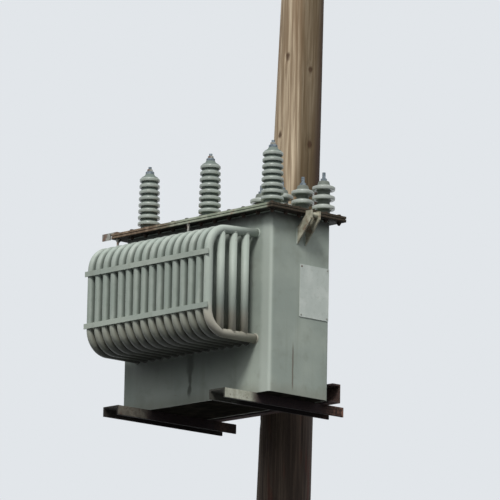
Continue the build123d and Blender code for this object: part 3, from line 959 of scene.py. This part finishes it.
def lv_bushings(material):
    for number, x in enumerate(LV_X, 1):
        outline = [(0.040, 0.0), (0.040, 0.011), (0.0385, 0.0135), (0.035, 0.0145), (0.0315, 0.0160)]
        for k in range(LV_SHEDS):
            height = LV_FIRST_SHED + LV_SHED_PITCH * k
            outline += shed(LV_SHED_R, LV_CORE_R, LV_SHED_T, LV_DROOP, height)
        outline += [(0.0285, 0.1610), (0.0265, 0.1690), (0.0240, 0.1720)]
        mesh = lathe(outline, x, LV_Y, LID_TOP_Z, 48, LV_CLEAN_R, LV_CORE_R)
        made = piece(f"lv_porcelain_{number}", mesh, material)
        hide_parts(f"lv_bushing_{number}")


def pole_mesh():
    """The pole with its hollows, checks and knots, all inside the turned solid."""
    chance = random.Random(11)
    sides = 200
    heights = np.append(np.linspace(0.0, POLE_H - 0.012, 300), POLE_H)
    turns = np.linspace(0.0, math.tau, sides, endpoint=False)
    z, turn = np.meshgrid(heights, turns, indexing="ij")
    radius = POLE_FOOT_R + (POLE_TOP_R - POLE_FOOT_R) * z / POLE_H
    hollow = np.zeros_like(z)
    for _ in range(12):
        waves, climb, phase = chance.randint(1, 6), chance.uniform(-2.2, 2.2), chance.uniform(0, math.tau)
        hollow += 0.00035 * (1 + np.sin(waves * turn + climb * z + phase))
    check = np.zeros_like(z)
    for _ in range(34):
        at, low = chance.uniform(0, math.tau), chance.uniform(-0.3, 6.6)
        length, depth = chance.uniform(0.35, 1.7), chance.uniform(0.45, 1.0)
        drift, sway = chance.uniform(-0.05, 0.05), chance.uniform(0, math.tau)
        share = (z - low) / length
        line = at + drift * (z - low) + 0.02 * np.sin(5.0 * z + sway)
        away = np.abs((turn - line + math.pi) % math.tau - math.pi) * radius
        along = np.sin(np.clip(share, 0, 1) * math.pi) ** 0.5
        check = np.maximum(check, np.clip(1 - away / 0.0062, 0, 1) * along * depth)
    knot = np.zeros_like(z)
    seen = [(-92, 5.38, 0.017), (-9, 5.33, 0.019), (-77, 5.764, 0.016), (-13.5, 5.70, 0.016)]
    spots = [(math.radians(degrees), height, size) for degrees, height, size in seen]
    for _ in range(16):
        spots.append((chance.uniform(0, math.tau), chance.uniform(0.4, 6.8), chance.uniform(0.016, 0.030)))
    for at, height, size in spots:
        across = ((turn - at + math.pi) % math.tau - math.pi) * radius
        away = np.sqrt(across ** 2 + ((z - height) * 0.75) ** 2) / size
        knot = np.maximum(knot, np.clip(1.25 - away, 0, 1))
        hollow += 0.0035 * np.exp(-((away - 1.1) / 0.35) ** 2)
    radius = radius - hollow - 0.011 * check
    radius[-1] -= 0.012
    x = POLE_LEAN * z + radius * np.cos(turn)
    y = radius * np.sin(turn)
    rings = np.stack([x, y, z], axis=-1).tolist()
    points, faces = rings_of(rings)
    mesh = mesh_of("pole_shape", points, faces)
    mark(mesh, "check", check.ravel())
    mark(mesh, "knot", knot.ravel())
    return outward(mesh)


def pole(material):
    made = piece("pole_timber", pole_mesh(), material)
    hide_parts("pole")


def bolts(old, bright):
    """Every small fastener: on the lid, the bushings' rings, the plate and the channels."""
    patterns = {True: bolt_pattern(bright), False: bolt_pattern(old)}

    def put(name, places, clean=False, **sizes):
        mesh = patterns[clean].run(mesh_of("places", places, []), **sizes)
        piece(name, mesh, bright if clean else old)

    inset = RIM_OVERHANG / 2
    low_x, high_x = LEFT_X - inset, RIGHT_X + inset
    low_y, high_y = FRONT_Y - inset, BACK_Y + inset
    around = []
    for k in range(12):
        x = low_x + (high_x - low_x) * k / 11
        around += [(x, low_y), (x, high_y)]
    for k in range(1, 5):
        y = low_y + (high_y - low_y) * k / 5
        around += [(low_x, y), (high_x, y)]
    clear = [p for p in around if not (p[0] < LEFT_X and p[1] < FRONT_Y)]
    put("lid_bolt_heads", [(x, y, LID_TOP_Z) for x, y in clear], Head=0.019, Height=0.008)
    down = (math.pi, 0.0, 0.0)
    below = [(x, y, RIM_LOW_Z) for x, y in around]
    put("lid_bolt_nuts", below, Head=0.019, Height=0.010, Out=0.006, Tilt=down)
    rings = []
    for x in HV_X:
        for k in range(4):
            turn = math.pi / 4 + k * math.pi / 2
            along, out_y = HV_RING_BOLT_R * math.cos(turn), HV_RING_BOLT_R * math.sin(turn)
            rings.append((x + along, HV_Y + out_y, LID_TOP_Z + HV_RING_TOP))
    put("ring_bolts", rings, True, Head=0.011, Height=0.005, Washer=0.007, Thick=0.0012, Thread=0.003)
    studs = [(x, HV_Y, LID_TOP_Z + HV_CAP_TOP) for x in HV_X]
    put("stud_nuts", studs, True, Head=0.024, Height=0.009, Washer=0.014, Thick=0.002, Thread=0.0075)
    out = (0.0, math.pi / 2, 0.0)
    rivets = [(RIGHT_X + 0.003, y, z) for y in RIVET_Y for z in RIVET_Z]
    flat = dict(Head=0.006, Height=0.0015, Washer=0.0045, Thick=0.0008, Thread=0.002)
    put("plate_rivets", rivets, True, Tilt=out, **flat)
    through = []
    for x in BEARER_X:
        through += [(x, REAR_BOLT_Y, BASE_Z - 0.007), (x, FRONT_Y + 0.090, BASE_Z - 0.007)]
    stout = dict(Head=0.024, Washer=0.019, Thick=0.003, Thread=0.008)
    put("bearer_nuts", through, Height=0.012, Out=0.012, Tilt=down, **stout)
    on_channel = [(x, REAR_BOLT_Y, BASE_Z + 0.0085) for x in BEARER_X]
    put("channel_heads", on_channel, Height=0.010, **stout)


def hanging_bolts(material):
    """Two long bolts left hanging below the rim: a pale one in front and a dark one at the corner."""
    pattern = bolt_pattern(material)
    places = [(RIG_X - 0.018, FRONT_Y - 0.046, RIM_LOW_Z), (LEFT_X - 0.020, FRONT_Y - 0.036, RIM_LOW_Z)]
    long = dict(Head=0.014, Height=0.008, Washer=0.010, Out=0.036, Tilt=(math.pi, 0.0, 0.0))
    mesh = pattern.run(mesh_of("places", places, []), **long)
    piece("hanging_bolts", mesh, material)


def dress_nodes(finishes):
    """Gives each CAD node that stays its finish."""
    looks = {
        "bearer": "channel",
        "cross_channel": "channel",
        "tank_hooks": "tank",
        "tank_walls": "tank",
        "tank_floor": "underside",
        "tank_rim": "lid",
        "gasket": "gasket",
        "lid": "lid",
        "lid_angle": "bolt",
        "strap": "tank",
        "hv_flanges": "lid",
        "lv_terminals": "terminal",
        "hv_terminal": "terminal",
        "lifting_lug": "lug",
        "rating_plate": "plate",
        "through_bolt": "bolt",
    }
    for name, node in NODES.items():
        fits = [key for key in looks if name.startswith(key)]
        if fits:
            material = finishes[looks[max(fits, key=len)]]
            node.data.materials.clear()
            node.data.materials.append(material)


# The studio


def studio():
    """A pale floor and sky, and one soft lamp above, in front and to the right."""
    scene = bpy.context.scene
    scene.view_settings.view_transform = "Standard"
    world = bpy.data.worlds.new("studio")
    scene.world = world
    world.use_nodes = True
    tree = world.node_tree
    tree.nodes.clear()
    path = tree.nodes.new("ShaderNodeLightPath")
    seen = pale_rays(tree, path)
    place = tree.nodes.new("ShaderNodeTexCoord")
    split = tree.nodes.new("ShaderNodeSeparateXYZ")
    tree.links.new(place.outputs["Generated"], split.inputs[0])
    level = tree.nodes.new("ShaderNodeMapRange")
    # Dim below the horizon and full from a third of the way up
    for key, value in ((1, -0.05), (2, 0.35), (3, 0.03), (4, 1.05)):
        level.inputs[key].default_value = value
    tree.links.new(split.outputs[2], level.inputs[0])
    light = tree.nodes.new("ShaderNodeBackground")
    light.inputs[0].default_value = (0.96, 0.98, 1.0, 1.0)
    tree.links.new(level.outputs[0], light.inputs[1])
    pale = tree.nodes.new("ShaderNodeBackground")
    pale.inputs[0].default_value = shade(226, 230, 234)
    mix = tree.nodes.new("ShaderNodeMixShader")
    tree.links.new(seen, mix.inputs[0])
    tree.links.new(light.outputs[0], mix.inputs[1])
    tree.links.new(pale.outputs[0], mix.inputs[2])
    leave = tree.nodes.new("ShaderNodeOutputWorld")
    tree.links.new(mix.outputs[0], leave.inputs[0])

    lamp_data = bpy.data.lights.new("soft_sun", "SUN")
    lamp_data.energy = 3.0
    lamp_data.angle = math.radians(16)
    lamp_data.color = (1.0, 0.985, 0.96)
    lamp = bpy.data.objects.new("soft_sun", lamp_data)
    scene.collection.objects.link(lamp)
    azimuth, height = math.radians(34), math.radians(47)
    towards = Vector(
        (math.sin(azimuth) * math.cos(height), -math.cos(azimuth) * math.cos(height), math.sin(height))
    )
    lamp.rotation_mode = "QUATERNION"
    lamp.rotation_quaternion = towards.to_track_quat("Z", "Y")

    rim, sides = 240.0, 96
    turns = [k * math.tau / sides for k in range(sides)]
    corners = [(rim * math.cos(turn), rim * math.sin(turn), 0.0) for turn in turns]
    floor_mesh = mesh_of("floor", corners, [tuple(range(sides))])
    floor = bpy.data.objects.new("floor", floor_mesh)
    scene.collection.objects.link(floor)
    floor_mesh.materials.append(floor_finish())


def pale_rays(tree, path):
    """1 for rays that see the background, straight or by reflection."""
    total = path.outputs["Is Camera Ray"]
    for name in ("Is Glossy Ray", "Is Transmission Ray"):
        add = tree.nodes.new("ShaderNodeMath")
        add.operation = "MAXIMUM"
        tree.links.new(total, add.inputs[0])
        tree.links.new(path.outputs[name], add.inputs[1])
        total = add.outputs[0]
    return total


def floor_finish():
    """Pale to the eye, and dull to the light that it throws back up."""
    material = bpy.data.materials.new("floor")
    material.use_nodes = True
    tree = material.node_tree
    tree.nodes.clear()
    seen = pale_rays(tree, tree.nodes.new("ShaderNodeLightPath"))
    dull = tree.nodes.new("ShaderNodeBsdfDiffuse")
    dull.inputs[0].default_value = (0.03, 0.03, 0.03, 1.0)
    pale = tree.nodes.new("ShaderNodeBsdfDiffuse")
    pale.inputs[0].default_value = shade(214, 217, 220)
    mix = tree.nodes.new("ShaderNodeMixShader")
    tree.links.new(seen, mix.inputs[0])
    tree.links.new(dull.outputs[0], mix.inputs[1])
    tree.links.new(pale.outputs[0], mix.inputs[2])
    leave = tree.nodes.new("ShaderNodeOutputMaterial")
    tree.links.new(mix.outputs[0], leave.inputs[0])
    return material


def camera():
    """The photograph's view: from the front right, looking up at the tank."""
    azimuth, rise, roll = math.radians(47.41), math.radians(11.4259), math.radians(1.0822)
    distance = 22.2
    target = Vector((0.2353, -0.3668, 4.7578))
    back = Vector(
        (math.sin(azimuth) * math.cos(rise), -math.cos(azimuth) * math.cos(rise), -math.sin(rise))
    )
    right = Vector((math.cos(azimuth), math.sin(azimuth), 0.0))
    up = back.cross(right)
    turned = right * math.cos(roll) + up * math.sin(roll)
    upright = back.cross(turned)
    data = bpy.data.cameras.new("camera")
    data.lens = 333.9
    data.sensor_width = 36.0
    data.clip_start, data.clip_end = 0.5, 500.0
    eye = bpy.data.objects.new("camera", data)
    bpy.context.scene.collection.objects.link(eye)
    facing = Matrix((turned, upright, back)).transposed().to_4x4()
    eye.matrix_world = Matrix.Translation(target + back * distance) @ facing
    bpy.context.scene.camera = eye


def build():
    finishes = {
        "tank": tank_paint(),
        "bank": bank_paint(),
        "lid": lid_paint(),
        "lug": lug_paint(),
        "channel": channel_steel(),
        "bolt": bolt_steel(),
        "gasket": gasket_rubber(),
        "terminal": terminal_metal(),
        "plate": plate_metal(),
        "underside": tank_underside(),
    }
    hv_glaze = porcelain("hv_porcelain", shade(142, 150, 143), shade(78, 90, 84))
    lv_glaze = porcelain("lv_porcelain", shade(156, 162, 156), shade(74, 80, 72))
    camera()
    studio()
    dress_nodes(finishes)
    tube_bank(finishes["bank"])
    tank_welds(finishes["bank"])
    hv_bushings(hv_glaze)
    lv_bushings(lv_glaze)
    pole(pole_wood())
    bolts(old_bolt_steel(), finishes["bolt"])
    hanging_bolts(finishes["bolt"])


build()
